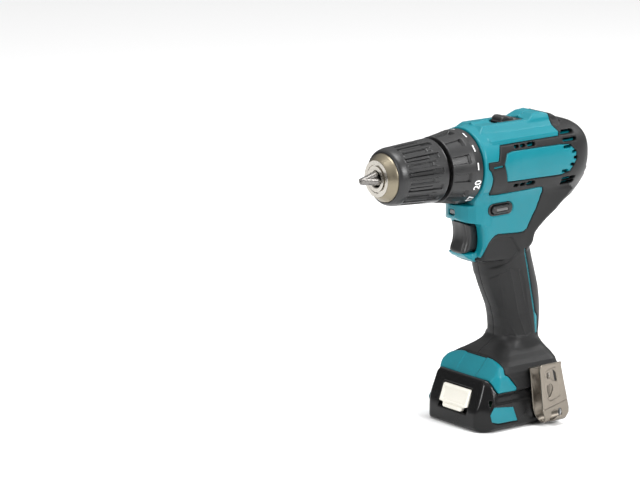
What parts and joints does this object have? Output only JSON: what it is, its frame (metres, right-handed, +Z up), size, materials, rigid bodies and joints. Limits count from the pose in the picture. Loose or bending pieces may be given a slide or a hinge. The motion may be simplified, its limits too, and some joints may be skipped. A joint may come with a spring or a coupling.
{
  "type": "cordless drill",
  "caption": "Compact pistol-grip cordless drill driver with keyless three-jaw chuck, torque ring, planetary gearbox, brushed motor, belt clip and slide-on battery.",
  "frame": {"origin": "on the battery's flat underside, in the drill's mid-plane, below the front of the grip", "axes": "+X forward along the spindle towards the chuck, +Y to the tool's left (the belt clip side), +Z up"},
  "size_m": [0.1876, 0.078, 0.2092],
  "materials": {
    "teal_plastic": "satin moulded nylon",
    "black_rubber": "soft-touch elastomer",
    "black_plastic": "fine texture",
    "grey_plastic": "fine texture",
    "cream_plastic": "satin",
    "bright_steel": "turned",
    "dark_steel": "ground",
    "champagne_metal": "satin",
    "nickel_clip": "nickel plated",
    "gear_steel": "sintered",
    "zinc": "cast",
    "magnet": "sintered",
    "brass": "plain",
    "cell_wrap": "shrink wrap",
    "clear_lens": "clear"
  },
  "bodies": {
    "housing": {"housing_left": "teal_plastic", "housing_right": "teal_plastic", "grip_overmould_left": "black_rubber", "grip_overmould_right": "black_rubber", "foot_cap": "teal_plastic", "housing_screws": "bright_steel", "gear_case": "zinc", "motor_plate": "zinc", "ring_gear_1": "gear_steel", "ring_gear_2": "gear_steel", "clutch_pins": "bright_steel", "clutch_washer": "bright_steel", "clutch_spring": "bright_steel", "front_bearing_outer": "bright_steel", "motor_can": "gear_steel", "motor_magnets": "magnet", "end_bell": "black_plastic", "brushes": "brass", "switch_module": "black_plastic", "trigger_spring": "bright_steel", "led_lens": "clear_lens", "terminal_block": "black_plastic", "belt_clip": "nickel_clip", "clip_screw": "bright_steel"},
    "torque_ring": {"torque_ring": "black_plastic"},
    "torque_nut": {"torque_nut": "grey_plastic"},
    "spindle": {"spindle": "bright_steel", "output_carrier": "gear_steel", "front_bearing_inner": "bright_steel", "chuck_body": "bright_steel", "nose_cone": "champagne_metal", "chuck_screw": "bright_steel"},
    "chuck_sleeve": {"chuck_sleeve": "black_plastic", "jaw_nut": "gear_steel"},
    "jaw_1": {"jaw_1": "dark_steel"},
    "jaw_2": {"jaw_2": "dark_steel"},
    "jaw_3": {"jaw_3": "dark_steel"},
    "carrier_1": {"carrier_1": "gear_steel"},
    "rotor": {"rotor": "gear_steel", "pinion": "gear_steel", "cooling_fan": "black_plastic"},
    "planet_1a": {"planet_1a": "gear_steel"},
    "planet_1b": {"planet_1b": "gear_steel"},
    "planet_1c": {"planet_1c": "gear_steel"},
    "planet_2a": {"planet_2a": "gear_steel"},
    "planet_2b": {"planet_2b": "gear_steel"},
    "planet_2c": {"planet_2c": "gear_steel"},
    "trigger": {"trigger": "black_plastic"},
    "reverse_lever": {"reverse_lever": "grey_plastic"},
    "speed_lever": {"speed_lever": "black_plastic", "shift_fork": "black_plastic"},
    "battery": {"battery_case": "black_plastic", "battery_cover": "black_plastic", "battery_contacts": "brass", "battery_cells": "cell_wrap", "latch_spring": "bright_steel", "gauge_window": "clear_lens"},
    "battery_latch": {"battery_latch": "cream_plastic"},
    "check_button": {"check_button": "grey_plastic"}
  },
  "joints": [
    {"name": "spindle_spin", "type": "hinge", "parent": "housing", "child": "spindle", "pos_m": [0.06, 0, 0.178], "axis": [1, 0, 0], "continuous": true},
    {"name": "carrier_1_spin", "type": "hinge", "parent": "housing", "child": "carrier_1", "pos_m": [0.005, 0, 0.178], "axis": [1, 0, 0], "continuous": true},
    {"name": "rotor_spin", "type": "hinge", "parent": "housing", "child": "rotor", "pos_m": [-0.03, 0, 0.178], "axis": [1, 0, 0], "continuous": true},
    {"name": "planet_1a_spin", "type": "hinge", "parent": "carrier_1", "child": "planet_1a", "pos_m": [-0.0005, 0, 0.1888], "axis": [1, 0, 0], "continuous": true},
    {"name": "planet_1b_spin", "type": "hinge", "parent": "carrier_1", "child": "planet_1b", "pos_m": [-0.0005, -0.00935, 0.1726], "axis": [1, 0, 0], "continuous": true},
    {"name": "planet_1c_spin", "type": "hinge", "parent": "carrier_1", "child": "planet_1c", "pos_m": [-0.0005, 0.00935, 0.1726], "axis": [1, 0, 0], "continuous": true},
    {"name": "planet_2a_spin", "type": "hinge", "parent": "spindle", "child": "planet_2a", "pos_m": [0.011, 0, 0.1888], "axis": [1, 0, 0], "continuous": true},
    {"name": "planet_2b_spin", "type": "hinge", "parent": "spindle", "child": "planet_2b", "pos_m": [0.011, -0.00935, 0.1726], "axis": [1, 0, 0], "continuous": true},
    {"name": "planet_2c_spin", "type": "hinge", "parent": "spindle", "child": "planet_2c", "pos_m": [0.011, 0.00935, 0.1726], "axis": [1, 0, 0], "continuous": true},
    {"name": "sleeve_turn", "type": "hinge", "parent": "spindle", "child": "chuck_sleeve", "pos_m": [0.08, 0, 0.178], "axis": [1, 0, 0], "range_deg": [0, 3900]},
    {"name": "jaw_1_slide", "type": "slide", "parent": "spindle", "child": "jaw_1", "axis": [-0.9659, 0, 0.2588], "range_m": [0, 0.0175]},
    {"name": "jaw_2_slide", "type": "slide", "parent": "spindle", "child": "jaw_2", "axis": [-0.9659, -0.2241, -0.1294], "range_m": [0, 0.0175]},
    {"name": "jaw_3_slide", "type": "slide", "parent": "spindle", "child": "jaw_3", "axis": [-0.9659, 0.2241, -0.1294], "range_m": [0, 0.0175]},
    {"name": "torque_ring_turn", "type": "hinge", "parent": "housing", "child": "torque_ring", "pos_m": [0.045, 0, 0.178], "axis": [1, 0, 0], "range_deg": [0, 270]},
    {"name": "torque_nut_slide", "type": "slide", "parent": "torque_ring", "child": "torque_nut", "axis": [1, 0, 0], "range_m": [0, 0.0056]},
    {"name": "trigger_pull", "type": "slide", "parent": "housing", "child": "trigger", "axis": [-1, 0, 0], "range_m": [0, 0.007], "stiffness_N_per_m": 500, "springref_m": -0.004},
    {"name": "reverse_shift", "type": "slide", "parent": "housing", "child": "reverse_lever", "axis": [0, 1, 0], "range_m": [-0.003, 0.003]},
    {"name": "speed_shift", "type": "slide", "parent": "housing", "child": "speed_lever", "axis": [1, 0, 0], "range_m": [0, 0.007]},
    {"name": "battery_slide", "type": "slide", "parent": "housing", "child": "battery", "axis": [1, 0, 0], "range_m": [0, 0.066]},
    {"name": "latch_press", "type": "slide", "parent": "battery", "child": "battery_latch", "axis": [-1, 0, 0], "range_m": [0, 0.0022], "stiffness_N_per_m": 1200, "springref_m": -0.001},
    {"name": "check_button_press", "type": "slide", "parent": "battery", "child": "check_button", "axis": [1, 0, 0], "range_m": [0, 0.0005], "stiffness_N_per_m": 1200, "springref_m": -0.0003}
  ],
  "couplings": [
    {"joint": "carrier_1_spin", "follows": "spindle_spin", "ratio": 3.6},
    {"joint": "rotor_spin", "follows": "spindle_spin", "ratio": 12.96},
    {"joint": "planet_1a_spin", "follows": "spindle_spin", "ratio": -11.7},
    {"joint": "planet_1b_spin", "follows": "spindle_spin", "ratio": -11.7},
    {"joint": "planet_1c_spin", "follows": "spindle_spin", "ratio": -11.7},
    {"joint": "planet_2a_spin", "follows": "spindle_spin", "ratio": -3.25},
    {"joint": "planet_2b_spin", "follows": "spindle_spin", "ratio": -3.25},
    {"joint": "planet_2c_spin", "follows": "spindle_spin", "ratio": -3.25},
    {"joint": "jaw_1_slide", "follows": "sleeve_turn", "m_per_rad": 0.00025416},
    {"joint": "jaw_2_slide", "follows": "sleeve_turn", "m_per_rad": 0.00025416},
    {"joint": "jaw_3_slide", "follows": "sleeve_turn", "m_per_rad": 0.00025416},
    {"joint": "torque_nut_slide", "follows": "torque_ring_turn", "m_per_rad": 0.0011671}
  ]
}
